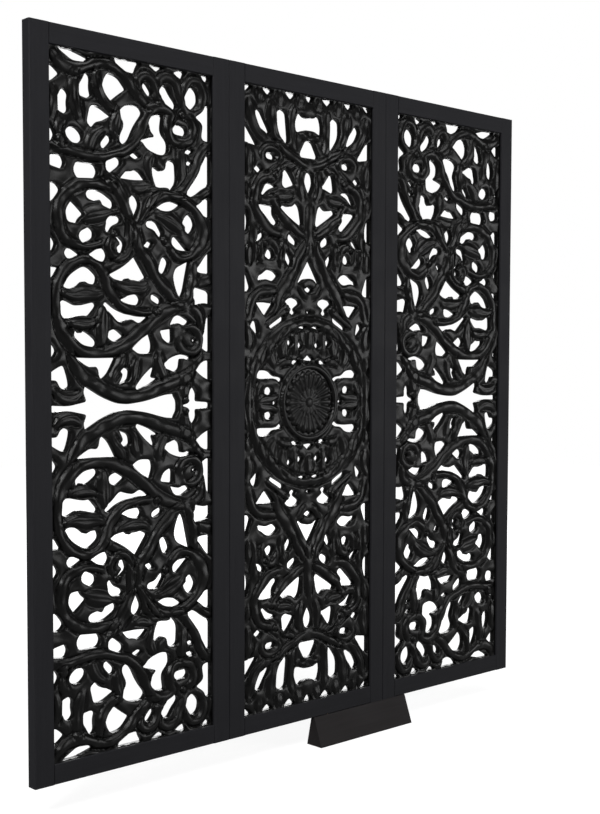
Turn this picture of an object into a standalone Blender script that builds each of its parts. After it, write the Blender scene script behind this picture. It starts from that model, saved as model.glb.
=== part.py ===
"""Carved wall panel: three framed leaves dowelled side by side, each with a pierced fretwork board.

Metres, +Z up. The frame's back lies on y = 0 against the wall and the front faces -Y.
The origin is the middle of the back of the centre leaf's top rail.
"""

import math

import bmesh
import bpy
from mathutils import Matrix, Vector

MM = 0.001

# The three leaves and their frame members
LEAF_WIDTH = 400 * MM
LEAF_HEIGHT = 1200 * MM
FRAME_THICKNESS = 20 * MM
STILE_WIDTH = 36 * MM
RAIL_WIDTH = 33 * MM
ARRIS = 1.2 * MM

# Joinery: FIT is the clearance between pieces that touch
FIT = 0.3 * MM
REBATE_WIDTH = 8 * MM
REBATE_DEPTH = 16 * MM
BOARD_THICKNESS = 15 * MM
TENON_LENGTH = 12 * MM
TENON_WIDTH = 14 * MM
TENON_THICKNESS = 6 * MM
SEAM_DOWEL_RADIUS = 4 * MM
SEAM_DOWEL_DEPTH = 14 * MM
SEAM_DOWEL_INSET = 150 * MM
DOWEL_SIDES = 12

# Keyhole slots for the wall screws, in the backs of the outer top rails
KEYHOLE_ENTRY_RADIUS = 4.5 * MM
KEYHOLE_NECK_WIDTH = 4.5 * MM
KEYHOLE_RISE = 8 * MM
KEYHOLE_LIP = 3 * MM
KEYHOLE_DEPTH = 8 * MM

# Foot block under the bottom rail, set off the panel's axis
FOOT_LEFT = 10 * MM
FOOT_LENGTH = 255 * MM
FOOT_HEIGHT = 55 * MM
FOOT_TOP = 8 * MM
FOOT_STANDOUT = 20 * MM
FOOT_WALL_GAP = 0.5 * MM
FOOT_DOWEL_RADIUS = 2.5 * MM
FOOT_DOWEL_DEPTH = 14 * MM
FOOT_DOWEL_INSET = 37 * MM

# The carved ring and dished rosette in the middle of the centre board
RING_RISE = 3 * MM
RING_SIDES = 28

# The fretwork is drawn for a leaf of these sizes, in millimetres: x from the leaf's outer edge
# (from the axis on the centre leaf) and z up from mid-height. It stretches to fit the sight opening.
DRAWN_LEAF = 398
DRAWN_HEIGHT = 1200
DRAWN_STILE = 35
DRAWN_RAIL = 33
DRAWN_RING = 72
SIGHT_MARGIN = 0.3
MARGIN_STEP = 0.2

SIGHT_WIDTH = LEAF_WIDTH - 2 * STILE_WIDTH
SIGHT_HEIGHT = LEAF_HEIGHT - 2 * RAIL_WIDTH
HALF_HEIGHT = LEAF_HEIGHT / 2
STILE_BACK = STILE_WIDTH - REBATE_WIDTH
RAIL_BACK = RAIL_WIDTH - REBATE_WIDTH
TENON_Y = -REBATE_DEPTH / 2
BOARD_FRONT = FIT - REBATE_DEPTH
MOUNT_HEIGHT = HALF_HEIGHT - RAIL_BACK / 2
LEAF_CENTRES = {"left": -LEAF_WIDTH, "centre": 0.0, "right": LEAF_WIDTH}


def cut(*stations):
    """One opening as a gouge cut along (x, z, width) stations, with an end pointed where it has no width."""
    first_side = []
    second_side = []
    last = len(stations) - 1
    for index, (x, z, width) in enumerate(stations):
        before = stations[max(index - 1, 0)]
        after = stations[min(index + 1, last)]
        along = Vector((after[0] - before[0], after[1] - before[1])).normalized()
        across = Vector((-along.y, along.x)) * width / 2
        here = Vector((x, z))
        end = min(0.3 * width, 6)
        if index == 0:
            first_side.append(here - along * end)
        if width:
            first_side.append(here + across)
            second_side.append(here - across)
        if index == last:
            first_side.append(here + along * end)
    return first_side + second_side[::-1]


def shape(*points):
    """One opening whose outline is given corner by corner."""
    return [Vector(point) for point in points]


def both_ways(*points, mirror):
    """One opening that lies across a line of symmetry, from the outline of its half."""
    flip = Vector((-1, 1)) if mirror == "x" else Vector((1, -1))
    half = [Vector(point) for point in points]
    other = [point * flip for point in half if (point * flip - point).length > 1]
    return half + other[::-1]


def top_row():
    """Scalloped gaps under the top rail of a side leaf."""
    return [
        cut((81, 556, 50), (84, 567, 64)),
        shape((160, 567), (169, 555), (183, 549), (196, 546), (206, 549), (209, 558), (214, 567)),
        cut((247, 555, 0), (246, 567, 32)),
        cut((300, 555, 12), (295, 567, 30)),
        cut((352, 558, 14), (352, 567, 24)),
    ]


def upper_spray():
    """Leaves that fan out below the top rail of a side leaf."""
    return [
        cut((34, 525, 30), (48, 527, 24), (62, 527, 0)),
        cut((107, 499, 28), (106, 514, 23), (112, 532, 14)),
        shape((148, 542), (138, 526), (141, 507), (156, 495), (172, 508), (189, 520), (172, 539)),
        cut((222, 532, 16), (234, 518, 15)),
        cut((261, 532, 21), (270, 517, 22), (286, 505, 16)),
        cut((326, 538, 22), (322, 524, 34), (317, 509, 20)),
        cut((68, 500, 20), (64, 485, 22), (66, 469, 22)),
        shape((114, 485), (134, 486), (158, 473), (137, 460), (118, 448), (107, 456)),
        shape((184, 495), (171, 485), (175, 460), (170, 434), (178, 428), (192, 436), (204, 462), (222, 486),
              (214, 497)),
        shape((262, 487), (243, 487), (231, 476), (232, 460), (238, 450), (214, 441), (226, 427), (252, 419),
              (272, 424), (274, 444), (258, 460)),
        cut((285, 467, 18), (308, 466, 18)),
        shape((366, 517), (350, 516), (345, 505), (328, 493), (345, 482), (341, 460), (347, 454), (366, 454)),
    ]


def cross_stem():
    """Gaps on both sides of the stem that crosses a side leaf below its upper spray."""
    return [
        cut((34, 431, 36), (46, 431, 22)),
        cut((72, 438, 18), (85, 434, 29), (98, 430, 18)),
        cut((153, 438, 16), (138, 422, 14)),
        cut((190, 413, 0), (203, 414, 15), (216, 413, 0)),
        cut((305, 430, 0), (316, 433, 14), (328, 436, 0)),
        cut((307, 411, 0), (317, 414, 13), (327, 416, 0)),
        cut((34, 390, 16), (63, 389, 25)),
        cut((87, 380, 27), (126, 381, 24)),
        cut((149, 389, 22), (172, 403, 17)),
        shape((171, 374), (187, 392), (212, 392), (227, 376), (199, 373)),
        shape((234, 398), (247, 400), (257, 394), (264, 399), (266, 412), (277, 416), (290, 412), (292, 378),
              (277, 361), (269, 368), (246, 365), (236, 382)),
        shape((366, 432), (352, 431), (335, 397), (308, 364), (317, 355), (332, 360), (350, 373), (366, 379)),
    ]


def paired_scrolls():
    """The pair of scrolls at the quarter height of a side leaf."""
    return [
        shape((34, 356), (52, 357), (62, 346), (48, 327), (34, 325)),
        cut((109, 343, 16), (134, 341, 22), (158, 329, 18)),
        cut((200, 347, 16), (201, 334, 27), (203, 311, 0)),
        cut((244, 332, 0), (262, 335, 16), (284, 339, 16), (300, 342, 0)),
        shape((330, 342), (350, 357), (366, 358), (366, 324), (351, 324)),
        shape((79, 333), (92, 323), (105, 311), (95, 303), (91, 294), (70, 296), (66, 315)),
        cut((173, 308, 12), (154, 304, 20), (147, 287, 13)),
        cut((226, 304, 12), (244, 303, 18), (256, 287, 14)),
        cut((316, 323, 20), (315, 311, 32), (315, 297, 18)),
        cut((34, 260, 38), (46, 261, 22)),
        cut((97, 273, 21), (118, 283, 22)),
        cut((167, 279, 8), (178, 269, 13), (171, 257, 18)),
        cut((219, 267, 0), (230, 270, 17), (241, 274, 0)),
        cut((282, 282, 19), (294, 272, 19), (316, 264, 0)),
        cut((68, 247, 17), (80, 247, 18), (97, 246, 0)),
        cut((110, 247, 0), (124, 247, 19), (144, 248, 24)),
        shape((203, 251), (178, 231), (150, 217), (156, 210), (180, 206), (196, 210), (212, 207), (228, 215)),
        cut((265, 247, 21), (257, 227, 19)),
        shape((318, 248), (312, 222), (306, 195), (299, 183), (289, 188), (279, 217), (284, 234), (303, 243)),
        shape((366, 265), (352, 262), (332, 236), (335, 228), (366, 227)),
    ]


def great_scroll():
    """The great round scroll next to mid-height of a side leaf, with the sprays beside and below it."""
    return [
        shape((34, 225), (57, 224), (46, 206), (34, 204)),
        shape((61, 193), (72, 212), (95, 227), (112, 228), (130, 213), (126, 199), (110, 199), (101, 204),
              (90, 194), (72, 190)),
        shape((321, 199), (330, 205), (366, 198), (366, 174), (345, 177), (329, 172)),
        shape((57, 172), (70, 174), (97, 167), (124, 172), (128, 165), (112, 147), (95, 149), (68, 142),
              (56, 147)),
        shape((145, 175), (136, 168), (153, 152), (168, 138), (184, 142), (206, 137), (220, 141), (231, 150),
              (195, 151), (165, 161)),
        cut((170, 176, 0), (190, 177, 17), (210, 178, 20)),
        cut((236, 184, 14), (254, 176, 14)),
        cut((86, 121, 17), (104, 112, 24), (124, 104, 14)),
        cut((151, 118, 18), (164, 118, 24), (182, 117, 0)),
        shape((233, 124), (212, 112), (194, 96), (208, 87), (237, 89), (240, 104)),
        shape((251, 128), (280, 132), (281, 108), (271, 105), (257, 113)),
        shape((272, 137), (281, 153), (299, 156), (319, 145), (311, 137), (295, 136)),
        shape((366, 155), (352, 153), (342, 100), (349, 93), (366, 92)),
        cut((319, 112, 0), (326, 112, 11), (333, 112, 0)),
        cut((34, 92, 36), (46, 92, 20)),
        shape((84, 82), (120, 81), (165, 82), (150, 55), (137, 45), (129, 49), (126, 62), (104, 67)),
        cut((182, 61, 22), (183, 49, 17), (166, 36, 0)),
        shape((236, 68), (216, 52), (200, 33), (206, 27), (233, 36), (251, 47), (238, 49), (244, 65)),
        shape((260, 70), (270, 81), (290, 88), (314, 87), (322, 82), (314, 77), (299, 77), (297, 63),
              (285, 56), (266, 63)),
        shape((328, 60), (343, 77), (366, 79), (366, 41), (343, 49)),
        shape((34, 58), (56, 69), (67, 69), (74, 48), (76, 34), (62, 29), (50, 36), (44, 44), (34, 45)),
    ]


def side_waist():
    """The long bow-tie gap at mid-height of a side leaf and the cross-shaped slit beside it."""
    return [
        both_ways((34, 6), (72, 4), (104, 11), (97, 27), (104, 37), (138, 18), (167, 7), (187, 5), (225, 10),
                  (262, 20), (282, 21), (292, 10), mirror="z"),
        both_ways((366, 5), (334, 7), (335, 22), (324, 36), (314, 22), (315, 7), (299, 0), mirror="z"),
    ]


def medallion():
    """Gaps of a quarter of the round medallion, inside its outer ring and just outside it."""
    return [
        cut((92, 22, 15), (108, 23, 15)),
        shape((62, 43), (68, 48), (84, 49), (97, 60), (124, 61), (132, 52), (127, 44), (84, 45), (72, 34)),
        cut((22, 77, 0), (35, 75, 13), (48, 73, 0)),
        cut((22, 96, 0), (22, 106, 19), (23, 118, 0)),
        cut((49, 100, 0), (49, 111, 20), (48, 122, 0)),
        cut((4, 140, 0), (17, 140, 8), (31, 139, 0)),
        cut((64, 156, 13), (96, 138, 11)),
        cut((166, 54, 24), (155, 54, 16)),
        cut((137, 145, 22), (127, 126, 10)),
        shape((86, 182), (110, 184), (133, 182), (114, 159), (105, 158)),
        shape((40, 195), (24, 191), (20, 183), (35, 173), (29, 166), (40, 159), (51, 166), (46, 173),
              (63, 185), (57, 192)),
    ]


def stem_fork():
    """Gaps of a quarter of the forked stem above and below the medallion."""
    return [
        shape((166, 240), (152, 238), (140, 208), (146, 201), (166, 200)),
        shape((74, 232), (84, 241), (103, 244), (126, 235), (129, 221), (105, 222), (86, 221)),
        cut((47, 248, 0), (48, 258, 18), (56, 274, 14)),
        cut((99, 265, 24), (98, 277, 18)),
        cut((32, 294, 15), (50, 305, 19)),
        cut((113, 306, 12), (122, 299, 14), (135, 290, 0)),
        shape((166, 352), (153, 349), (146, 330), (149, 308), (166, 303)),
        shape((32, 371), (20, 362), (14, 330), (23, 325), (56, 345), (72, 356), (67, 364), (46, 359)),
        shape((86, 358), (87, 343), (75, 330), (80, 323), (92, 322), (117, 346), (126, 357), (120, 360)),
        shape((80, 393), (88, 398), (109, 398), (121, 376), (110, 374), (96, 387)),
    ]


def crown():
    """Gaps of a quarter of the leafy crown at the ends of the centre leaf."""
    return [
        shape((58, 432), (45, 420), (32, 401), (61, 391), (70, 398), (66, 425)),
        cut((87, 446, 13), (106, 447, 13)),
        cut((113, 421, 0), (126, 421, 20), (138, 420, 0)),
        cut((68, 530, 27), (67, 503, 31), (56, 476, 15)),
        cut((127, 522, 20), (117, 504, 22), (100, 488, 12)),
        shape((166, 500), (152, 498), (126, 465), (128, 460), (166, 466)),
        cut((47, 558, 18), (47, 567, 32)),
        cut((104, 558, 16), (103, 567, 28)),
        shape((140, 567), (152, 555), (166, 553), (166, 567)),
    ]


def axis_row():
    """Gaps on the upright axis of the centre leaf, above mid-height."""
    return [
        shape((0, 92), (16, 79), (0, 77), (-16, 79)),
        cut((-8, 168, 0), (0, 168, 10), (8, 168, 0)),
        cut((-13, 210, 0), (0, 210, 17), (13, 210, 0)),
        both_ways((0, 270), (16, 246), (31, 221), (20, 221), (9, 230), mirror="x"),
        cut((0, 380, 0), (0, 405, 28), (0, 424, 22)),
        both_ways((11, 485), (26, 459), (22, 452), mirror="x"),
        both_ways((11, 527), (20, 535), (31, 532), (36, 514), (34, 497), (24, 498), (12, 503), mirror="x"),
        cut((0, 557, 14), (0, 567, 24)),
    ]


def mirrored(openings, mirror):
    flip = Vector((-1, 1)) if mirror == "x" else Vector((1, -1))
    return openings + [[point * flip for point in opening] for opening in openings]


def side_openings():
    """Every opening of a side leaf, as points from the middle of its sight opening."""
    upper = top_row() + upper_spray() + cross_stem() + paired_scrolls() + great_scroll()
    whole = mirrored(upper, "z") + side_waist()
    middle = Vector((DRAWN_LEAF / 2, 0))
    return [[point - middle for point in opening] for opening in whole]


def centre_openings():
    """Every opening of the centre leaf, as points from the middle of its sight opening."""
    beside_rosette = [cut((76, 0, 0), (84, 0, 14), (92, 0, 0))]
    quarter = medallion() + stem_fork() + crown()
    upper = mirrored(quarter, "x") + axis_row()
    return mirrored(upper, "z") + mirrored(beside_rosette, "x")


def drawing_scale():
    """Metres for each drawn millimetre, across and up."""
    across = SIGHT_WIDTH / (DRAWN_LEAF - 2 * DRAWN_STILE)
    up = SIGHT_HEIGHT / (DRAWN_HEIGHT - 2 * DRAWN_RAIL)
    return across, up


def wood(name, colour, roughness):
    material = bpy.data.materials.new(name)
    material.use_nodes = True
    shader = material.node_tree.nodes["Principled BSDF"]
    shader.inputs["Base Color"].default_value = (*colour, 1)
    shader.inputs["Roughness"].default_value = roughness
    shader.inputs["Metallic"].default_value = 0
    material.diffuse_color = (*colour, 1)
    return material


def finished(obj, material):
    obj.data.materials.clear()
    obj.data.materials.append(material)
    PARTS.objects.link(obj)
    return obj


def helper(obj):
    obj.hide_render = True
    obj.display_type = "WIRE"
    CUTTERS.objects.link(obj)
    return obj


def prism_into(bm, section, axis, start, end):
    """Adds a prism to bm: a section drawn in the two other axes, from start to end along the axis."""
    def spot(pair, along):
        values = list(pair)
        values.insert("xyz".index(axis), along)
        return Vector(values)

    near = [bm.verts.new(spot(pair, start)) for pair in section]
    far = [bm.verts.new(spot(pair, end)) for pair in section]
    made = [bm.faces.new(near), bm.faces.new(far)]
    for index in range(len(section)):
        after = (index + 1) % len(section)
        made.append(bm.faces.new((near[index], near[after], far[after], far[index])))
    bmesh.ops.recalc_face_normals(bm, faces=made)


def object_of(name, prisms):
    """A mesh object of one or more prisms, each (section, axis, start, end)."""
    bm = bmesh.new()
    for section, axis, start, end in prisms:
        prism_into(bm, section, axis, start, end)
    mesh = bpy.data.meshes.new(name)
    bm.to_mesh(mesh)
    bm.free()
    return bpy.data.objects.new(name, mesh)


def rectangle(low, high):
    return [low, (high[0], low[1]), high, (low[0], high[1])]


def circle(centre, radius, sides):
    angles = [2 * math.pi * (step + 0.5) / sides for step in range(sides)]
    return [(centre[0] + radius * math.cos(a), centre[1] + radius * math.sin(a)) for a in angles]


def boolean(obj, name, tool, operation):
    modifier = obj.modifiers.new(name, "BOOLEAN")
    modifier.operation = operation
    modifier.solver = "EXACT"
    modifier.object = tool


def member_section(width, side):
    """Section of a frame member as (across, y): across runs from its outer edge to the sight, times side."""
    front = -FRAME_THICKNESS
    back_width = width - REBATE_WIDTH
    points = [
        (0, 0),
        (0, front + ARRIS),
        (ARRIS, front),
        (width - ARRIS, front),
        (width, front + ARRIS),
        (width, -REBATE_DEPTH),
        (back_width, -REBATE_DEPTH),
        (back_width, 0),
    ]
    return [(across * side, y) for across, y in points]


def tenon_section(clearance):
    """Section of a tenon, or of its mortise, as (y, z from the rail's outer edge inwards)."""
    y = TENON_THICKNESS / 2 + clearance
    z = TENON_WIDTH / 2 + clearance
    return rectangle((TENON_Y - y, RAIL_BACK / 2 - z), (TENON_Y + y, RAIL_BACK / 2 + z))


def stile(leaf, hand):
    """A stile of a leaf: hand is 1 on its left side, with the sight towards +x, and -1 on its right."""
    side = "left" if hand > 0 else "right"
    outer = LEAF_CENTRES[leaf] - hand * (LEAF_WIDTH - FIT) / 2
    section = [(outer + across, y) for across, y in member_section(STILE_WIDTH, hand)]
    obj = object_of(f"{leaf}_leaf_{side}_stile", [(section, "z", -HALF_HEIGHT, HALF_HEIGHT)])

    floor = outer + hand * (STILE_BACK - TENON_LENGTH - FIT)
    mouth = outer + hand * (STILE_BACK + FIT)
    mortises = []
    for end in (1, -1):
        hole = [(y, end * (HALF_HEIGHT - z)) for y, z in tenon_section(FIT)]
        mortises.append((hole, "x", floor, mouth))
    boolean(obj, "Mortises", helper(object_of(obj.name + "_mortises", mortises)), "DIFFERENCE")

    if abs(outer) < LEAF_WIDTH:
        bottom = outer + hand * SEAM_DOWEL_DEPTH
        start = outer - hand * FIT
        holes = [(circle((-FRAME_THICKNESS / 2, z), SEAM_DOWEL_RADIUS, DOWEL_SIDES), "x", start, bottom)
                 for z in seam_dowel_heights()]
        boolean(obj, "Dowel holes", helper(object_of(obj.name + "_dowel_holes", holes)), "DIFFERENCE")
    return finished(obj, BLACK)


def seam_dowel_heights():
    reach = HALF_HEIGHT - SEAM_DOWEL_INSET
    return (-reach, 0, reach)


def rail(leaf, hand):
    """A rail with long and short shoulders and end tenons: hand is -1 for the top, 1 for the bottom."""
    side = "bottom" if hand > 0 else "top"
    middle = LEAF_CENTRES[leaf]
    outer = -hand * HALF_HEIGHT
    short = SIGHT_WIDTH / 2 - FIT
    long = SIGHT_WIDTH / 2 + REBATE_WIDTH - FIT
    section = [(y, outer + across) for across, y in member_section(RAIL_WIDTH, hand)]
    obj = object_of(f"{leaf}_leaf_{side}_rail", [(section, "x", middle - short, middle + short)])

    back = rectangle((-REBATE_DEPTH, outer), (0, outer + hand * RAIL_BACK))
    shoulder = object_of(obj.name + "_shoulders", [(back, "x", middle - long, middle + long)])
    boolean(obj, "Long shoulders", helper(shoulder), "UNION")
    tongue = [(y, outer + hand * z) for y, z in tenon_section(0)]
    reach = long + TENON_LENGTH
    tenon = object_of(obj.name + "_tenons", [(tongue, "x", middle - reach, middle + reach)])
    boolean(obj, "Tenons", helper(tenon), "UNION")
    return obj


def keyhole(obj, middle):
    """Routs a keyhole slot for a wall screw into the back of a top rail."""
    entry = HALF_HEIGHT - RAIL_BACK + KEYHOLE_ENTRY_RADIUS + ARRIS
    top = entry + KEYHOLE_RISE
    neck = KEYHOLE_NECK_WIDTH / 2
    inner = KEYHOLE_ENTRY_RADIUS
    mouth = circle((middle, entry), inner, DOWEL_SIDES)
    slot = rectangle((middle - neck, entry), (middle + neck, top + neck))
    undercut = rectangle((middle - inner, entry), (middle + inner, top + inner))
    cuts = (("mouth", mouth, FIT), ("slot", slot, FIT), ("undercut", undercut, -KEYHOLE_LIP))
    for label, section, end in cuts:
        cutter = object_of(f"{obj.name}_keyhole_{label}", [(section, "y", -KEYHOLE_DEPTH, end)])
        boolean(obj, "Keyhole " + label, helper(cutter), "DIFFERENCE")


def foot_dowel_places():
    return (FOOT_LEFT + FOOT_DOWEL_INSET, SIGHT_WIDTH / 2 - FOOT_DOWEL_INSET)


def foot_dowel_y():
    return -FRAME_THICKNESS + FOOT_TOP / 2


def foot_dowel_holes(obj, seat, way):
    """Bores the foot's dowel holes into obj, from the seat plane, up for way 1 or down for way -1."""
    start = seat - way * FIT
    end = seat + way * FOOT_DOWEL_DEPTH
    holes = [(circle((x, foot_dowel_y()), FOOT_DOWEL_RADIUS, DOWEL_SIDES), "z", start, end)
             for x in foot_dowel_places()]
    boolean(obj, "Dowel holes", helper(object_of(obj.name + "_dowel_holes", holes)), "DIFFERENCE")


def foot_block():
    """Wedge-section block under the bottom rail, flush with the frame's front at its top."""
    top = -HALF_HEIGHT - FIT
    bottom = -HALF_HEIGHT - FOOT_HEIGHT
    front = -FRAME_THICKNESS
    section = [
        (front, top),
        (front + FOOT_TOP, top),
        (-FOOT_WALL_GAP, bottom),
        (front - FOOT_STANDOUT, bottom),
    ]
    obj = object_of("foot_block", [(section, "x", FOOT_LEFT, FOOT_LEFT + FOOT_LENGTH)])
    foot_dowel_holes(obj, top, -1)
    return finished(obj, FOOT_BLACK)


def dowel(name, section, axis, middle, half_length):
    obj = object_of(name, [(section, axis, middle - half_length, middle + half_length)])
    return finished(obj, BEECH)


def ring_profile(radius):
    """Profile of the rosette as (radius, height over the board): a ring round a dish with a button."""
    sunk = -BOARD_THICKNESS / 2
    return [
        (0, sunk),
        (radius, sunk),
        (radius, RING_RISE * 0.5),
        (radius * 0.97, RING_RISE),
        (radius * 0.90, RING_RISE),
        (radius * 0.86, RING_RISE * 0.4),
        (radius * 0.28, RING_RISE * 0.15),
        (radius * 0.22, RING_RISE * 0.8),
        (0, RING_RISE),
    ]


def rosette():
    """The ring and rosette as a turned solid about the y axis, standing in front of the board."""
    radius = DRAWN_RING * min(drawing_scale())
    mesh = bpy.data.meshes.new("rosette_profile")
    profile = [(r, BOARD_FRONT - height, 0) for r, height in ring_profile(radius)]
    edges = [(index, index + 1) for index in range(len(profile) - 1)]
    mesh.from_pydata(profile, edges, [])
    obj = bpy.data.objects.new("centre_leaf_rosette", mesh)
    screw = obj.modifiers.new("Turned", "SCREW")
    screw.axis = "Y"
    screw.steps = RING_SIDES
    screw.render_steps = RING_SIDES
    screw.use_merge_vertices = True
    screw.merge_threshold = 0.00001
    screw.use_normal_calculate = True
    return helper(obj)


def corners(loop):
    """The loop without the points that lie on a straight line between their neighbours."""
    kept = []
    for index, here in enumerate(loop):
        before = Vector(loop[index - 1])
        after = Vector(loop[(index + 1) % len(loop)])
        if abs((Vector(here) - before).cross(after - before)) > 1 * MM * MM:
            kept.append(here)
    return kept


def fretwork(leaf, openings, flip):
    """A pierced board: its outline and openings drawn as one flat curve, filled and thickened."""
    across, up = drawing_scale()
    half_width = SIGHT_WIDTH / 2
    half_height = SIGHT_HEIGHT / 2
    reach = REBATE_WIDTH - FIT
    edge = rectangle((-half_width - reach, -half_height - reach), (half_width + reach, half_height + reach))
    loops = [edge]
    for number, opening in enumerate(openings):
        # Neighbouring gaps stop at slightly different margins, so that their corners don't line up
        margin = (SIGHT_MARGIN + MARGIN_STEP * (number % 5)) * MM
        loop = []
        for point in opening:
            x = max(margin - half_width, min(half_width - margin, point.x * across))
            z = max(margin - half_height, min(half_height - margin, point.y * up))
            loop.append((x * flip, z))
        loops.append(corners(loop))

    curve = bpy.data.curves.new(f"{leaf}_fretwork_drawing", "CURVE")
    curve.dimensions = "2D"
    curve.fill_mode = "BOTH"
    curve.extrude = BOARD_THICKNESS / 2
    for loop in loops:
        spline = curve.splines.new("POLY")
        spline.points.add(len(loop) - 1)
        for point, (x, z) in zip(spline.points, loop):
            point.co = (x, z, 0, 1)
        spline.use_cyclic_u = True
    drawing = bpy.data.objects.new(curve.name, curve)
    CUTTERS.objects.link(drawing)
    bpy.context.view_layer.update()
    graph = bpy.context.evaluated_depsgraph_get()
    mesh = bpy.data.meshes.new_from_object(drawing.evaluated_get(graph))
    bpy.data.objects.remove(drawing)

    upright = Matrix.Rotation(math.pi / 2, 4, "X")
    place = Matrix.Translation((LEAF_CENTRES[leaf], BOARD_FRONT + BOARD_THICKNESS / 2, 0))
    bm = bmesh.new()
    bm.from_mesh(mesh)
    bmesh.ops.remove_doubles(bm, verts=bm.verts, dist=0.000001)
    caps = [face for face in bm.faces if len(face.verts) == 3]
    inner = [edge for edge in bm.edges if all(len(face.verts) == 3 for face in edge.link_faces)]
    bmesh.ops.beautify_fill(bm, faces=caps, edges=inner, method="ANGLE")
    bm.transform(place @ upright)
    bmesh.ops.recalc_face_normals(bm, faces=bm.faces)
    bm.to_mesh(mesh)
    bm.free()
    mesh.name = f"{leaf}_leaf_fretwork"
    obj = bpy.data.objects.new(mesh.name, mesh)
    return finished(obj, CARVED_BLACK)


for old in list(bpy.data.objects):
    bpy.data.objects.remove(old)
PARTS = bpy.data.collections.new("Carved wall panel")
CUTTERS = bpy.data.collections.new("Cutters")
bpy.context.scene.collection.children.link(PARTS)
bpy.context.scene.collection.children.link(CUTTERS)

BLACK = wood("Black stained wood", (0.022, 0.022, 0.024), 0.45)
CARVED_BLACK = wood("Black stained carved wood", (0.018, 0.017, 0.016), 0.4)
FOOT_BLACK = wood("Black painted block", (0.028, 0.024, 0.025), 0.5)
BEECH = wood("Plain dowel wood", (0.55, 0.38, 0.22), 0.6)

for leaf in LEAF_CENTRES:
    stile(leaf, 1)
    stile(leaf, -1)
    top_rail = rail(leaf, -1)
    if leaf != "centre":
        keyhole(top_rail, LEAF_CENTRES[leaf])
    finished(top_rail, BLACK)
    bottom_rail = rail(leaf, 1)
    if leaf == "centre":
        foot_dowel_holes(bottom_rail, -HALF_HEIGHT, 1)
    finished(bottom_rail, BLACK)

fretwork("left", side_openings(), 1)
fretwork("right", side_openings(), -1)
centre_board = fretwork("centre", centre_openings(), 1)
boolean(centre_board, "Rosette", rosette(), "UNION")

for seam, x in (("left", -LEAF_WIDTH / 2), ("right", LEAF_WIDTH / 2)):
    for number, z in enumerate(seam_dowel_heights(), 1):
        peg = circle((-FRAME_THICKNESS / 2, z), SEAM_DOWEL_RADIUS - FIT, DOWEL_SIDES)
        dowel(f"{seam}_seam_dowel_{number}", peg, "x", x, SEAM_DOWEL_DEPTH - FIT)

foot_block()
for number, x in enumerate(foot_dowel_places(), 1):
    peg = circle((x, foot_dowel_y()), FOOT_DOWEL_RADIUS - FIT, DOWEL_SIDES)
    dowel(f"foot_dowel_{number}", peg, "z", -HALF_HEIGHT - FIT / 2, FOOT_DOWEL_DEPTH - FIT)

for obj in [*PARTS.objects, *CUTTERS.objects]:
    obj.location.z = -MOUNT_HEIGHT
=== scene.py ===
import math

import bpy
import numpy as np
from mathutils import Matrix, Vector, geometry, kdtree


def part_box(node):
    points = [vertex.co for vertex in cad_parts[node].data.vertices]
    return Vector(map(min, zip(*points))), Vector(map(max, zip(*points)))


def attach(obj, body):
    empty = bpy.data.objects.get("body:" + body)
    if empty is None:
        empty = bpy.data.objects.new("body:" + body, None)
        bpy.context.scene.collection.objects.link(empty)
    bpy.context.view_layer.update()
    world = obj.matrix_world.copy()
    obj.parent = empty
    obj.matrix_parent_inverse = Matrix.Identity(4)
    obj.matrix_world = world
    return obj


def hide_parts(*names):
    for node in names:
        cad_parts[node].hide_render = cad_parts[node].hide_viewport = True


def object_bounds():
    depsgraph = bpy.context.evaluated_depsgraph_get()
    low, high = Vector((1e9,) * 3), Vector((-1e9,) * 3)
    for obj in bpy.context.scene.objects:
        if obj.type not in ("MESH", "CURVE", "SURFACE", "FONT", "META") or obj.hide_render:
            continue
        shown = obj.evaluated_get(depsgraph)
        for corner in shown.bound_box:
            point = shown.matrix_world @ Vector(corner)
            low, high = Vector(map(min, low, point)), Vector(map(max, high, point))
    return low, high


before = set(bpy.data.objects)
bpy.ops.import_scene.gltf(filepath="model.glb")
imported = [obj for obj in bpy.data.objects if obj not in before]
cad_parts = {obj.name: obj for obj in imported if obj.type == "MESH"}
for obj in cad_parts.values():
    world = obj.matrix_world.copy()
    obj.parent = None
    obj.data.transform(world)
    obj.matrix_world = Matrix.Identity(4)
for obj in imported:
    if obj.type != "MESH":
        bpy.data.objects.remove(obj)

CAD_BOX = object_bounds()
MM = 0.001

# Sizes read from the solids, in metres. A side board's middle lies at x = 199 in its drawing.
SIDE_BOARD_MIDDLE = 199
BOARD_LOW, BOARD_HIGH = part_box("left_leaf_fretwork")
STILE_LOW, STILE_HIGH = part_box("left_leaf_left_stile")
MID_HEIGHT = (STILE_LOW.z + STILE_HIGH.z) / 2
SIDE_ZERO = (BOARD_LOW.x + BOARD_HIGH.x) / 2 - SIDE_BOARD_MIDDLE * MM
BOARD_FRONT = BOARD_LOW.y
BOARD_BACK = BOARD_HIGH.y

# How finely the carving is modelled: distances between points, in millimetres
GRAIN_OF_MESH = 2.14
EDGE_ROW = 1.1
EDGE_CLEARANCE = 1.9
OUTLINE_SPACING = 12
OUTLINE_STEP = 0.8
FINE_STEP = 0.6
FINEST_STEP = 0.3
STROKE_STEP = 1.5
FIELD_MARGIN = 3

# How the drawn corners of the openings are eased. A corner blunter than the first number, in radians,
# is rounded over at most the second, in millimetres.
CORNER_EASING = [(2.2, 12), (1.75, 7), (1.15, 4), (-1, 2.2)]
CORNER_STEPS = 5
BLUNT_BEND = 1.9
BLUNT_SHARE = 0.4
SHARP_SHARE = 0.33
MOST_INSET = 0.6
INSET_SHARE = 0.06
REBATE = 7.7
FRAME_REACH = 1.4

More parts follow.
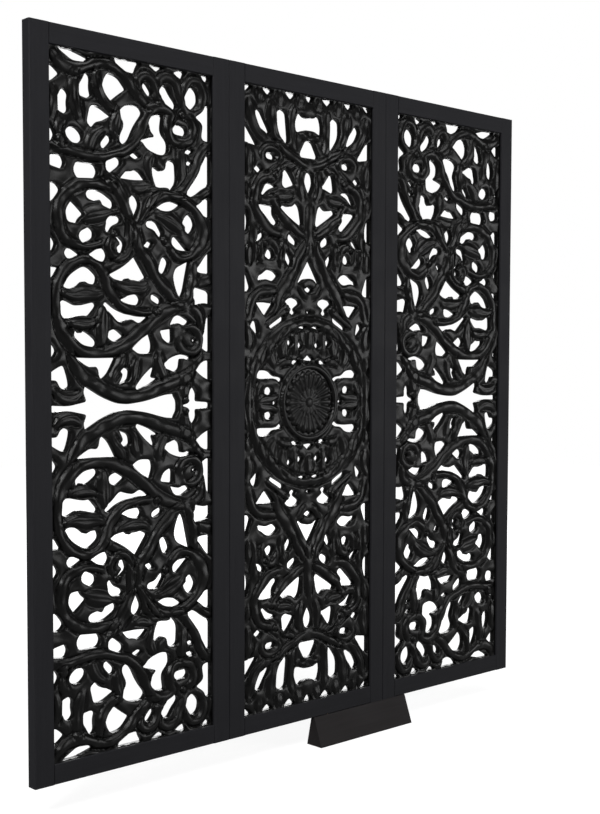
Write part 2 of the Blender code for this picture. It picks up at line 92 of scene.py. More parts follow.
# Depths and rises of the carving, in millimetres behind the board's front
EDGE_DEPTH = 2.8
GROUND_DEPTH = 1.2
PILLOW_WIDTH = 7.5
RIPPLE = 2.2
STEM_RISE = 3.0
STEM_CUT = 2.9
LEAF_RISE = 3.2
LEAF_CUT = 2.5
VEIN = 1.6
BUD_RISE = 3.2
BUD_CUT = 2.2
FRONT_MOST = -2.8
DEEPEST = 5.5
BACK_CHAMFER = 2.0

# Across a stroke, in its half widths: how much broader than drawn it is, with its cut there, and how
# broad the cuts are. The ends of a stroke run out over so many millimetres.
STEM_SPREAD = 1.2
STEM_CUT_BREADTH = 0.24
STEM_RUN_OUT = 16
LEAF_SPREAD = 1.15
LEAF_CUT_BREADTH = 0.22
LEAF_RUN_OUT = 12
VEIN_BREADTH = 0.2
BUD_SPREAD = 1.15
BUD_CUT_BREADTH = 0.25
LEAST_HALF_WIDTH = 0.5

# Stems and leaves are laid as strokes of (x, z, half width) in millimetres, and buds as (x, z, radius).
# On a side leaf x runs from its outer edge, on the centre leaf from the axis.
# z runs up from mid-height, and the lower half repeats the upper one.
SIDE_STEMS = [
    # great scroll, from the fork at its right end round to its curled tip
    [(310, 172, 5), (285, 168, 7), (262, 160, 8), (240, 146, 8), (216, 127, 8), (190, 108, 8),
     (163, 95, 7.5), (132, 89, 7), (104, 90, 7.5), (80, 99, 8), (62, 122, 9), (51, 152, 8), (48, 180, 7),
     (55, 205, 6.5), (70, 226, 6.5), (90, 237, 6), (110, 239, 6), (128, 232, 6), (140, 216, 6.5),
     (148, 197, 7), (160, 179, 6.5), (174, 167, 6), (192, 160, 5), (213, 157, 4.5), (236, 160, 3)],
    # arc above the bow-tie gap
    [(70, 98, 4), (80, 76, 7), (90, 60, 8), (105, 46, 8.5), (124, 36, 8.5), (146, 26, 8), (168, 19, 8),
     (190, 17, 8), (215, 19, 8), (240, 27, 8), (265, 36, 8), (290, 43, 8), (312, 52, 7), (326, 70, 4)],
    # trunk from the fork to the pair of scrolls
    [(305, 172, 5), (285, 178, 6.5), (268, 194, 7), (252, 209, 7), (240, 223, 7), (229, 241, 7),
     (214, 259, 7.5), (205, 278, 8), (202, 300, 6)],
    [(204, 270, 6), (190, 251, 7), (172, 238, 7), (152, 228, 7), (136, 224, 5)],
    # left scroll
    [(168, 352, 4), (150, 360, 6), (122, 362, 6.5), (95, 358, 7), (72, 345, 7), (58, 327, 7),
     (54, 303, 7), (59, 280, 6.5), (74, 266, 6), (96, 259, 5), (120, 262, 4.5), (142, 269, 4)],
    [(184, 318, 5), (190, 298, 6), (190, 275, 6.5), (182, 253, 6), (166, 245, 6), (152, 252, 5),
     (149, 266, 4.5), (157, 279, 4)],
    # right scroll
    [(225, 322, 4), (236, 342, 6), (252, 352, 6), (276, 354, 6), (300, 350, 6), (316, 343, 6),
     (330, 333, 6.5), (341, 318, 8), (346, 300, 9), (343, 282, 9), (332, 268, 8), (317, 256, 5.5),
     (298, 252, 6), (280, 259, 6), (266, 274, 5)],
    # stem that crosses the leaf and climbs into the upper spray
    [(40, 410, 6), (62, 411, 6.5), (85, 408, 6), (108, 405, 6), (132, 405, 6), (154, 410, 6),
     (172, 416, 6), (188, 424, 6), (202, 436, 6), (213, 452, 7), (219, 466, 7), (226, 482, 7),
     (238, 495, 7.5), (256, 499, 7), (276, 493, 6.5), (271, 478, 6.5), (272, 462, 6.5), (282, 449, 6.5),
     (300, 446, 6.5), (316, 452, 6.5), (324, 468, 6.5), (320, 484, 6), (305, 492, 4)],
    # upper spray
    [(42, 566, 5), (52, 548, 7), (66, 540, 8), (84, 538, 9), (100, 543, 8), (118, 551, 7),
     (138, 556, 6.5), (158, 553, 6.5), (176, 545, 6), (192, 532, 7), (204, 517, 7), (222, 503, 6.5),
     (240, 499, 5)],
    [(206, 520, 5), (210, 540, 6), (222, 548, 6), (236, 543, 6), (244, 530, 6), (248, 514, 6),
     (262, 503, 5)],
    [(248, 532, 5), (256, 548, 6), (272, 552, 6.5), (286, 545, 6.5), (294, 530, 6.5), (300, 514, 6),
     (304, 500, 5)],
    [(304, 520, 5), (308, 540, 6), (318, 554, 6), (334, 554, 6), (344, 542, 6), (346, 524, 6),
     (340, 508, 6), (328, 497, 6)],
    # stems at the right edge
    [(362, 446, 5), (347, 440, 6), (337, 424, 6.5), (330, 404, 7), (318, 384, 7), (304, 366, 7),
     (286, 357, 6), (264, 356, 4)],
    [(305, 172, 5), (316, 186, 6), (321, 205, 6.5), (325, 222, 6.5), (325, 240, 6), (328, 254, 5)],
    [(312, 172, 6), (330, 163, 7), (338, 150, 6), (338, 130, 5)],
    [(296, 128, 4), (308, 136, 5), (326, 132, 6), (338, 118, 6), (336, 102, 6), (322, 92, 6),
     (304, 94, 6), (292, 106, 6), (290, 120, 5)],
    [(62, 460, 6), (56, 444, 6), (56, 426, 6), (66, 412, 5)],
    [(366, 220, 6), (350, 214, 7), (334, 212, 6)],
    [(366, 366, 6), (350, 366, 6), (334, 352, 5)],
]
SIDE_LEAVES = [
    [(200, 300, 3), (188, 322, 8), (178, 342, 10), (166, 360, 9), (150, 374, 6), (138, 388, 2)],
    [(204, 300, 3), (214, 320, 8), (226, 340, 10), (240, 356, 8), (258, 364, 4)],
    [(176, 322, 3), (155, 319, 6), (135, 314, 11), (115, 310, 11), (100, 304, 5), (90, 300, 2)],
    [(236, 322, 3), (255, 320, 7), (275, 313, 11), (290, 304, 9), (300, 294, 3)],
    [(84, 540, 4), (84, 522, 8), (84, 506, 10), (86, 490, 9), (90, 474, 8), (96, 456, 4)],
    [(128, 550, 3), (126, 532, 6), (130, 515, 8), (140, 500, 8), (152, 488, 7), (168, 484, 3)],
    [(300, 444, 4), (298, 425, 9), (299, 405, 10), (303, 386, 5)],
    [(40, 508, 4), (46, 488, 8), (46, 470, 8), (43, 453, 4)],
    [(142, 452, 3), (124, 440, 9), (115, 425, 9), (112, 408, 3)],
    [(168, 492, 3), (166, 470, 8), (162, 450, 9), (158, 434, 4)],
    [(178, 94, 4), (172, 74, 8), (160, 58, 7), (150, 42, 4)],
    [(205, 84, 4), (200, 66, 8), (196, 50, 7), (186, 34, 4)],
    [(248, 94, 4), (250, 74, 9), (258, 58, 8), (264, 44, 4)],
    [(298, 60, 3), (306, 42, 9), (306, 26, 9), (303, 8, 4)],
    [(38, 32, 3), (58, 18, 8), (78, 16, 9), (97, 26, 3)],
    [(50, 188, 3), (75, 181, 7), (98, 183, 9), (122, 184, 8), (140, 188, 3)],
    [(140, 168, 3), (137, 148, 9), (137, 127, 11), (135, 108, 8), (132, 95, 3)],
    [(60, 134, 3), (80, 136, 6), (100, 134, 7), (118, 138, 5), (132, 146, 3)],
    [(345, 92, 3), (332, 78, 6), (322, 70, 5)],
    [(230, 206, 3), (214, 196, 8), (190, 195, 9), (166, 200, 6), (150, 208, 3)],
    [(240, 424, 3), (232, 408, 8), (234, 390, 7), (240, 372, 3)],
    [(190, 364, 3), (208, 360, 7), (226, 364, 7), (242, 366, 3)],
    [(138, 380, 2), (146, 374, 5), (154, 364, 6), (162, 352, 3)],
]
SIDE_BUDS = [(57, 422, 9), (244, 160, 6), (161, 283, 6), (262, 279, 6), (300, 493, 6), (308, 8, 7)]
# Leaf tips that reach into an opening: (x, z) on its edge, the push in x and z, and how broad the tip is
SIDE_TIPS = [(94, 127, 0, -6, 4), (131, 328, 0, 6, 5), (298, 303, 8, 0, 5), (187, 206, 0, 5, 4),
             (195, 140, 0, 4.5, 10), (193, 389, 0, -4, 7), (236, 449, 4, 0, 5), (120, 60, 2, 4, 6),
             (281, 19, 3, 2, 4), (86, 171, 0, -4, 14), (46, 37, 1, 5, 6), (300, 77, 0, 3.5, 8),
             (290, 137, 0, 4, 9), (171, 462, 5, 0, 14), (132, 458, -1, 3, 8)]
CENTRE_TIPS = [(121, 238, 0, -4, 10), (110, 221, 0, 2.5, 10)]
CENTRE_TIPS += [(-x, z, -push_x, push_z, breadth) for x, z, push_x, push_z, breadth in CENTRE_TIPS]
CENTRE_STEMS = [
    # axis stem and the forks that leave it
    [(0, 268, 3), (0, 285, 7), (0, 320, 8), (0, 350, 7), (0, 374, 4)],
    [(6, 304, 4), (18, 284, 6), (32, 263, 7), (42, 244, 7), (54, 226, 8), (68, 208, 8), (80, 190, 7),
     (88, 172, 6), (98, 156, 4)],
    [(6, 310, 4), (26, 315, 6), (46, 327, 7), (66, 341, 7), (80, 354, 6), (92, 370, 6), (108, 368, 4)],
    [(66, 312, 4), (84, 309, 6), (104, 318, 7), (122, 336, 7), (134, 356, 7), (134, 380, 7),
     (124, 400, 6), (106, 410, 6), (90, 414, 4)],
    [(140, 250, 4), (134, 272, 7), (136, 300, 7), (138, 326, 6)],
    [(76, 262, 4), (80, 283, 6), (94, 295, 6), (108, 288, 5)],
    # crown
    [(0, 440, 6), (20, 442, 6), (40, 450, 6), (60, 460, 6), (78, 468, 5), (100, 474, 4)],
    [(84, 436, 4), (76, 448, 5.5), (84, 460, 5.5), (104, 462, 5.5), (118, 452, 5), (116, 438, 4)],
    [(0, 492, 6), (18, 492, 5), (30, 486, 4)],
    # stems outside the medallion
    [(78, 206, 4), (100, 204, 6), (124, 200, 6), (140, 188, 6), (146, 168, 6), (150, 150, 5)],
    [(0, 196, 6), (14, 202, 6), (24, 214, 5), (34, 222, 4)],
    [(154, -14, 7), (154, 30, 7), (154, 62, 7), (152, 88, 4)],
]
CENTRE_LEAVES = [
    [(38, 456, 4), (45, 480, 8), (46, 505, 8), (44, 530, 7), (40, 548, 3)],
    [(70, 470, 4), (86, 490, 9), (92, 510, 11), (94, 530, 10), (97, 548, 4)],
    [(108, 472, 4), (128, 488, 8), (140, 508, 10), (147, 528, 9), (151, 546, 3)],
    [(24, 566, 4), (24, 553, 8), (23, 543, 3)],
    [(76, 566, 4), (75, 554, 9), (73, 543, 3)],
    [(124, 566, 4), (124, 554, 8), (124, 543, 3)],
    [(72, 436, 4), (82, 420, 9), (96, 410, 9), (114, 406, 4)],
    [(20, 434, 3), (24, 414, 7), (24, 394, 8), (16, 372, 4)],
    [(40, 384, 3), (56, 378, 7), (76, 376, 7), (92, 372, 3)],
    [(62, 300, 3), (66, 284, 8), (70, 262, 8), (70, 244, 4)],
    [(150, 290, 3), (150, 272, 7), (150, 254, 5), (150, 244, 2)],
    [(112, 256, 3), (122, 270, 8), (120, 286, 5), (114, 296, 2)],
    [(0, 97, 3), (0, 114, 9), (0, 130, 7), (0, 138, 3)],
    [(36, 84, 4), (36, 104, 8), (36, 124, 8), (33, 136, 3)],
    [(66, 80, 4), (65, 100, 11), (60, 120, 10), (52, 136, 4)],
    [(84, 64, 4), (94, 82, 10), (97, 100, 9), (92, 116, 4)],
    [(118, 66, 4), (119, 84, 7), (110, 104, 3)],
    [(76, 14, 3), (94, 9, 6), (114, 7, 8), (134, 3, 4)],
    [(120, 36, 3), (128, 28, 7), (132, 18, 7), (134, 6, 3)],
    [(158, 150, 3), (151, 130, 7), (148, 112, 8), (152, 94, 3)],
    [(48, 180, 3), (62, 170, 6), (80, 157, 6), (98, 147, 5), (114, 140, 2)],
    [(158, 470, 3), (150, 446, 8), (149, 424, 9), (153, 402, 3)],
    [(156, 396, 3), (151, 378, 6), (150, 360, 3)],
    [(38, 68, 3), (52, 75, 6), (66, 74, 6), (80, 66, 3)],
    [(32, 440, 3), (48, 434, 6), (64, 428, 5), (74, 418, 2)],
    [(44, 202, 3), (54, 190, 6), (58, 176, 5), (56, 166, 2)],
]
CENTRE_BUDS = [(86, 415, 6), (110, 288, 5), (24, 78, 6)]

# The medallion's ring and the dished rosette in it, in millimetres. The overrun is in radians.
RING_RADIUS = 147
RING_HALF = 8
RING_OVERRUN = 0.1
ROSETTE_RADIUS = 72
ROSETTE_FLOOR = 4.2
ROSETTE_GROOVE = 2.2
GROOVE_OUTSIDE = 4
GROOVE_BREADTH = 3.5
DISH_DEPTH = 5.4
DISH_RADIUS = 50
DISH_SLOPE = 38
PETALS = 24
PETAL_TIP = 54
PETAL_END = 9
PETAL_BULGE = 5
PETAL_FLUTE = 2.4
INNER_PETALS = 12
INNER_TIP = 22
INNER_END = 7
INNER_DISH = 2.6
INNER_SLOPE = 14
INNER_FLOOR = 1.8
INNER_FLUTE = 1.8
BUTTON_RADIUS = 9
BUTTON_FLOOR = 2.2
BUTTON_RISE = 3.4
RIM_INSET = 5
RIM_HALF = 4.5
RIM_FLOOR = 1.6
RIM_RISE = 4.0

# Smallest lengths told apart, in metres for the solids and in millimetres for the drawing
SAME_SPOT = 1e-5
SAME_POINT = 1e-6
WELD = 1e-7

# Kind of triangulation: only what lies inside the outlines
INSIDE_ONLY = 1

# Faces that meet at less than this angle are shaded as one curve, apart from the flat back's
SMOOTH_ANGLE = math.radians(50)
FLAT_BACK = 0.99


def deselect():
    """Clears the selection before an operator is used."""
    for obj in bpy.context.selected_objects:
        obj.select_set(False)


def turn_of(loop):
    """Area inside an outline, counted negative where it runs clockwise."""
    ahead = np.roll(loop, -1, axis=0)
    return np.sum(loop[:, 0] * ahead[:, 1] - loop[:, 1] * ahead[:, 0]) / 2


def outlines_of(node, left):
    """Outlines of a board and its openings, from its solid's back face, in drawing millimetres."""
    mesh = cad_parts[node].data
    back = max(v.co.y for v in mesh.vertices)
    spots = {}
    where = []
    for v in mesh.vertices:
        key = tuple(round(value / SAME_SPOT) for value in v.co)
        where.append(spots.setdefault(key, v.index))
    edges = set()
    for face in mesh.polygons:
        corners = [where[v] for v in face.vertices]
        level = all(back - mesh.vertices[v].co.y < SAME_SPOT for v in corners)
        if level and face.normal.y > 0.9:
            for first, second in zip(corners, corners[1:] + corners[:1]):
                if (second, first) in edges:
                    edges.remove((second, first))
                else:
                    edges.add((first, second))
    after = dict(edges)
    loops = []
    while after:
        start, here = after.popitem()
        loop = [start]
        while here != start:
            loop.append(here)
            here = after.pop(here)
        spot = [mesh.vertices[v].co for v in loop]
        loops.append(np.array([((p.x - left) / MM, (p.z - MID_HEIGHT) / MM) for p in spot]))
    loops.sort(key=lambda loop: -abs(turn_of(loop)))
    board = loops[0] if turn_of(loops[0]) < 0 else loops[0][::-1]
    return [board] + [loop if turn_of(loop) > 0 else loop[::-1] for loop in loops[1:]]


def eased(loop):
    """The outline with its blunt corners rounded into curves and its sharp ones only a little."""
    spots = [Vector(point) for point in loop]
    curve = []
    for index, here in enumerate(spots):
        back = spots[index - 1] - here
        ahead = spots[(index + 1) % len(spots)] - here
        if min(back.length, ahead.length) < SAME_POINT:
            continue
        bend = back.angle(ahead)
        share = BLUNT_SHARE if bend > BLUNT_BEND else SHARP_SHARE
        most = next(reach for least, reach in CORNER_EASING if bend > least)
        start = here + back.normalized() * min(share * back.length, most)
        end = here + ahead.normalized() * min(share * ahead.length, most)
        for step in range(CORNER_STEPS + 1):
            t = step / CORNER_STEPS
            curve.append(start * (1 - t) ** 2 + here * 2 * t * (1 - t) + end * t * t)
    return np.array(curve)


def evenly(loop, spacing):
    """The closed outline as points an even distance apart."""
    closed = np.vstack([loop, loop[:1]])
    run = np.concatenate([[0], np.cumsum(np.linalg.norm(np.diff(closed, axis=0), axis=1))])
    count = max(8, round(run[-1] / spacing))
    places = np.linspace(0, run[-1], count, endpoint=False)
    return np.stack([np.interp(places, run, closed[:, k]) for k in range(2)], axis=1)


def into_wood(loop):
    """Unit vectors from an opening's outline into the wood round it."""
    along = np.roll(loop, -1, axis=0) - np.roll(loop, 1, axis=0)
    along /= np.linalg.norm(along, axis=1)[:, None] + 1e-12
    return np.stack([along[:, 1], -along[:, 0]], axis=1)


def inside(points, loop):
    """Which points lie inside the outline."""
    found = np.zeros(len(points), bool)
    low, high = loop.min(0), loop.max(0)
    near = np.nonzero(((points >= low) & (points <= high)).all(1))[0]
    x, z = points[near, 0], points[near, 1]
    odd = np.zeros(len(near), bool)
    for (x0, z0), (x1, z1) in zip(loop, np.roll(loop, -1, axis=0)):
        if z0 != z1:
            crossing = ((z0 > z) != (z1 > z)) & (x < (x1 - x0) * (z - z0) / (z1 - z0) + x0)
            odd ^= crossing
    found[near] = odd
    return found


def triangles_between(points, loops):
    """Triangles over the wood: loops are index lists, the board's outline first and then its openings."""
    edges = [pair for loop in loops for pair in zip(loop, loop[1:] + loop[:1])]
    spots = [Vector(point) for point in points]
    found = geometry.delaunay_2d_cdt(spots, edges, [], INSIDE_ONLY, WELD, True)
    new_points = np.array([tuple(p) for p in found[0]])
    faces = np.array(found[2])
    first = np.array([ids[0] if ids else -1 for ids in found[3]])
    owner = np.full(len(points), -1)
    for number, loop in enumerate(loops):
        owner[loop] = number
    owners = np.where(first >= 0, owner[first], -1)[faces]
    middles = new_points[faces].mean(1)
    keep = np.ones(len(faces), bool)
    for number, loop in enumerate(loops):
        these = np.nonzero((owners == number).all(1))[0]
        within = inside(middles[these], points[loop])
        keep[these[within if number > 0 else ~within]] = False
    return new_points, faces[keep], first


def spread(points, spots):
    """Distance from each point to the nearest of the spots."""
    tree = kdtree.KDTree(len(spots))
    for index, spot in enumerate(spots):
        tree.insert((spot[0], spot[1], 0), index)
    tree.balance()
    return np.array([tree.find((p[0], p[1], 0))[2] for p in points])


def smooth_path(stations):
    """Stations joined by a flowing curve, as closely spaced (x, z, half width)."""
    given = np.array(stations, float)
    ends = np.vstack([2 * given[0] - given[1], given, 2 * given[-1] - given[-2]])
    path = []
    for index in range(1, len(ends) - 2):
        p0, p1, p2, p3 = ends[index - 1:index + 3]
        steps = max(3, int(np.hypot(*(p2 - p1)[:2]) / STROKE_STEP))
        for t in np.linspace(0, 1, steps, endpoint=False):
            path.append(0.5 * (2 * p1 + (p2 - p0) * t + (2 * p0 - 5 * p1 + 4 * p2 - p3) * t * t
                               + (3 * p1 - p0 - 3 * p2 + p3) * t ** 3))
    path.append(given[-1])
    return np.array(path)


def across_stroke(points, stations, broader, run_out):
    """For points near a stroke: their indices, offset in half widths, and 0 to 1 as its end runs out."""
    path = smooth_path(stations)
    path[:, 2] *= broader
    run = np.concatenate([[0], np.cumsum(np.linalg.norm(np.diff(path[:, :2], axis=0), axis=1))])
    swell = np.clip(np.minimum(run, run[-1] - run) / run_out, 0, 1)
    widest = path[:, 2].max() * 1.6 + 2
    low, high = path[:, :2].min(0) - widest, path[:, :2].max(0) + widest
    near = np.nonzero(((points >= low) & (points <= high)).all(1))[0]
    gap = points[near][:, None, :] - path[None, :, :2]
    away = np.sqrt((gap ** 2).sum(2))
    best = (away / np.maximum(path[None, :, 2], LEAST_HALF_WIDTH)).argmin(1)
    width = np.maximum(path[best, 2], LEAST_HALF_WIDTH)
    ease = swell[best] ** 2 * (3 - 2 * swell[best])
    return near, away[np.arange(len(near)), best] / width, ease


def ripple(points):
    """Slow unevenness of hand carving over the board, between about -1 and 1."""
    x, z = points[:, 0], points[:, 1]
    return (np.sin(x / 6.1 + 1.7 * np.sin(z / 17.0)) + np.sin(z / 5.3 + 1.5 * np.sin(x / 13.0))
            + np.sin((x + z) / 9.2) + np.sin((x - 0.7 * z) / 7.4 + 2.0)) / 4


def groove(r, deep, middle, breadth):
    """Depth of a round-bottomed cut at r = middle."""
    return deep * np.exp(-((r - middle) / breadth) ** 2)


def dome(r):
    """A quarter round: 1 at r = 0, falling to 0 at r = 1 and beyond."""
    return np.sqrt(np.clip(1 - r ** 2, 0, 1))


def carve(points, gap, stems, leaves, buds):
    """Depth of the carving behind the board's front, for points at the distance gap from an opening."""
    t = np.clip(gap / PILLOW_WIDTH, 0, 1)
    depth = GROUND_DEPTH - RIPPLE * t * ripple(points)
    for stations in leaves:
        near, r, ease = across_stroke(points, stations, LEAF_SPREAD, LEAF_RUN_OUT)
        cut = groove(r, LEAF_CUT, LEAF_SPREAD, LEAF_CUT_BREADTH) + groove(r, VEIN, 0, VEIN_BREADTH)
        depth[near] += ease * (cut - LEAF_RISE * dome(r) ** 3)
    for stations in stems:
        near, r, ease = across_stroke(points, stations, STEM_SPREAD, STEM_RUN_OUT)
        cut = groove(r, STEM_CUT, STEM_SPREAD, STEM_CUT_BREADTH)
        depth[near] += ease * (cut - STEM_RISE * dome(r) ** 2)
    for x, z, radius in buds:
        r = np.hypot(points[:, 0] - x, points[:, 1] - z) / radius
        depth += groove(r, BUD_CUT, BUD_SPREAD, BUD_CUT_BREADTH) - BUD_RISE * dome(r)
    depth = np.clip(depth, FRONT_MOST, DEEPEST)
    return depth + (EDGE_DEPTH - 0.3 * depth) * (1 - dome(1 - t))


def rounded_end(r, tip, length):
    """0 along a petal, rising to 1 at its tip as a quarter round."""
    return 1 - dome(np.clip((r - tip + length) / length, 0, 1))


def rosette_depth(points, depth):
    """Lays the dished rosette, with its rim and the groove round it, over the centre board's depth."""
    r = np.hypot(points[:, 0], points[:, 1])
    angle = np.arctan2(points[:, 1], points[:, 0])
    depth = depth + groove(r, ROSETTE_GROOVE, ROSETTE_RADIUS + GROOVE_OUTSIDE, GROOVE_BREADTH)

    flute = np.abs(np.cos(angle * PETALS / 2))
    petals = DISH_DEPTH * np.clip((DISH_RADIUS - r) / DISH_SLOPE, 0, 1) - PETAL_FLUTE * flute
    petals += (ROSETTE_FLOOR - petals) * rounded_end(r, PETAL_TIP + PETAL_BULGE * flute, PETAL_END)

    flute = np.abs(np.sin(angle * INNER_PETALS / 2))
    inner = INNER_DISH * np.clip((INNER_TIP - r) / INNER_SLOPE, 0, 1) - INNER_FLUTE * flute + INNER_FLOOR
    inner += (DEEPEST - inner) * rounded_end(r, INNER_TIP + PETAL_BULGE * flute, INNER_END)
    flower = np.minimum(petals, inner) - 0.5 * RIPPLE * ripple(points)

    button = BUTTON_FLOOR - BUTTON_RISE * dome(r / BUTTON_RADIUS)
    flower = np.where(r < BUTTON_RADIUS, button, flower)
    rim = np.abs(r - (ROSETTE_RADIUS - RIM_INSET)) / RIM_HALF
    bead = RIM_FLOOR - RIM_RISE * dome(rim)
    flower = np.where(rim < 1, np.minimum(flower, bead), flower)
    return np.where(r < ROSETTE_RADIUS, flower, depth)


def narrowed(loop, middle, half_sight):
    """The outline drawn in a little, as the rounding of its edge leaves it, less for a small opening."""
    inset = min(MOST_INSET, INSET_SHARE * math.sqrt(abs(turn_of(loop))))
    given = evenly(loop, OUTLINE_STEP)
    moved = given - into_wood(given) * inset
    kept = spread(moved, evenly(loop, FINEST_STEP)) > 0.96 * inset
    at_frame = np.abs(given - middle) > half_sight - FRAME_REACH
    moved = np.where(at_frame, given, moved)
    return moved[kept | at_frame.any(1)]


def tipped(loop, tips):
    """The outline with leaf tips pushed into it, above mid-height and mirrored below."""
    moved = evenly(loop, OUTLINE_STEP)
    for x, z, push_x, push_z, breadth in tips:
        for side in (1, -1):
            reach = np.hypot(moved[:, 0] - x, moved[:, 1] - side * z) / breadth
            moved = moved + np.exp(-reach[:, None] ** 2) * np.array([push_x, side * push_z])
    return moved


def board_outline(low, high):
    """The board's rectangle as points about a finger's width apart, corners included, clockwise."""
    corners = [(low[0], low[1]), (low[0], high[1]), (high[0], high[1]), (high[0], low[1])]
    sides = []
    for start, end in zip(corners, corners[1:] + corners[:1]):
        count = round(math.dist(start, end) / OUTLINE_SPACING)
        sides.append(np.linspace(start, end, count, endpoint=False))
    return np.vstack(sides)


def board_points(loops, tips):
    """Points over a board's front: the outlines, a row inside each opening's edge, and a fine field."""
    low, high = loops[0].min(0), loops[0].max(0)
    outline = board_outline(low, high)
    middle = (low + high) / 2
    half_sight = (high - low) / 2 - REBATE
    openings = []
    for loop in loops[1:]:
        drawn = narrowed(tipped(eased(loop), tips), middle, half_sight)
        openings.append(evenly(drawn, GRAIN_OF_MESH))
    fine = np.vstack([evenly(loop, FINE_STEP) for loop in openings])
    rows = np.vstack([loop + into_wood(loop) * EDGE_ROW for loop in openings])
    rows = rows[spread(rows, fine) > 0.8 * EDGE_ROW]
    field = []
    row_spacing = GRAIN_OF_MESH * 0.866
    for index, z in enumerate(np.arange(low[1] + FIELD_MARGIN, high[1] - FIELD_MARGIN + 1, row_spacing)):
        shift = GRAIN_OF_MESH / 2 * (index % 2)
        x = np.arange(low[0] + FIELD_MARGIN + shift, high[0] - FIELD_MARGIN + 1, GRAIN_OF_MESH)
        field.append(np.stack([x, np.full(len(x), z)], axis=1))
    field = np.vstack(field)
    taken = np.zeros(len(field), bool)
    for loop in openings:
        taken |= inside(field, loop)
    field = field[~taken]
    field = field[spread(field, fine) > EDGE_CLEARANCE]
    return outline, openings, fine, np.vstack([rows, field])


def carved_board(loops, tips, height_at):
    """A pierced board with a carved front, plain sawn walls in its openings and a flat back."""
    outline, openings, fine, field = board_points(loops, tips)
    rings = [outline] + openings
    starts = np.cumsum([0] + [len(ring) for ring in rings])
    indices = [list(range(starts[k], starts[k + 1])) for k in range(len(rings))]
    points = np.vstack(rings + [field])
    points, faces, first = triangles_between(points, indices)
    gap = spread(points, fine)
    depth = height_at(points, gap)

    place = {int(given): index for index, given in enumerate(first) if given >= 0}
    verts = [np.stack([points[:, 0], depth, points[:, 1]], axis=1)]
    polygons = [tuple(face) for face in faces]
    total = len(points)
    thickness = (BOARD_BACK - BOARD_FRONT) / MM
    back_points = []
    for number, ring in enumerate(rings):
        out = into_wood(ring)
        top = [place[index] for index in indices[number]]
        count = len(ring)
        wall = np.stack([ring[:, 0], np.full(count, thickness - BACK_CHAMFER), ring[:, 1]], axis=1)
        foot = ring + out * BACK_CHAMFER
        if number == 0:
            foot = np.clip(foot, ring.min(0) + BACK_CHAMFER, ring.max(0) - BACK_CHAMFER)
        verts += [wall, np.stack([foot[:, 0], np.full(count, thickness), foot[:, 1]], axis=1)]
        for index in range(count):
            after = (index + 1) % count
            polygons.append((top[index], top[after], total + after, total + index))
            polygons.append((total + index, total + after, total + count + after, total + count + index))
        back_points.append((foot, total + count))
        total += 2 * count
    flat = np.vstack([foot for foot, start in back_points])
    _, flat_faces, flat_first = triangles_between(flat, indices)
    numbers = np.concatenate([np.arange(len(foot)) + start for foot, start in back_points])
    for face in flat_faces:
        polygons.append(tuple(int(numbers[flat_first[v]]) for v in face[::-1]))
    return np.vstack(verts), polygons


def board_object(name, verts, polygons, x_at, mirror, finish):
    """The board as an object in its place: x_at is the panel's x where the drawing's x is 0."""
    side = -1 if mirror else 1
    spots = np.empty_like(verts)
    spots[:, 0] = x_at + side * verts[:, 0] * MM
    spots[:, 1] = BOARD_FRONT + verts[:, 1] * MM
    spots[:, 2] = MID_HEIGHT + verts[:, 2] * MM
    mesh = bpy.data.meshes.new(name)
    mesh.from_pydata(spots.tolist(), [], [face[::side] for face in polygons])
    mesh.materials.append(finish)
    obj = bpy.data.objects.new(name, mesh)
    bpy.context.scene.collection.objects.link(obj)
    deselect()
    bpy.context.view_layer.objects.active = obj
    obj.select_set(True)
    bpy.ops.object.shade_smooth_by_angle(angle=SMOOTH_ANGLE)
    obj.select_set(False)
    for face in mesh.polygons:
        if face.normal.y > FLAT_BACK:
            face.use_smooth = False
    return obj


def side_height(points, gap):
    """Depth over a side board: the lower half repeats the upper one."""
    folded = np.stack([points[:, 0], np.abs(points[:, 1])], axis=1)
    return carve(folded, gap, SIDE_STEMS, SIDE_LEAVES, SIDE_BUDS)


def centre_height(points, gap):
    """Depth over the centre board: all quarters repeat one, with the medallion's ring and the rosette."""
    folded = np.abs(points)
    ring = [(RING_RADIUS * math.cos(a), RING_RADIUS * math.sin(a), RING_HALF)
            for a in np.linspace(-RING_OVERRUN, math.pi / 2 + RING_OVERRUN, 25)]
    depth = carve(folded, gap, CENTRE_STEMS + [ring], CENTRE_LEAVES, CENTRE_BUDS)
    return rosette_depth(folded, depth)


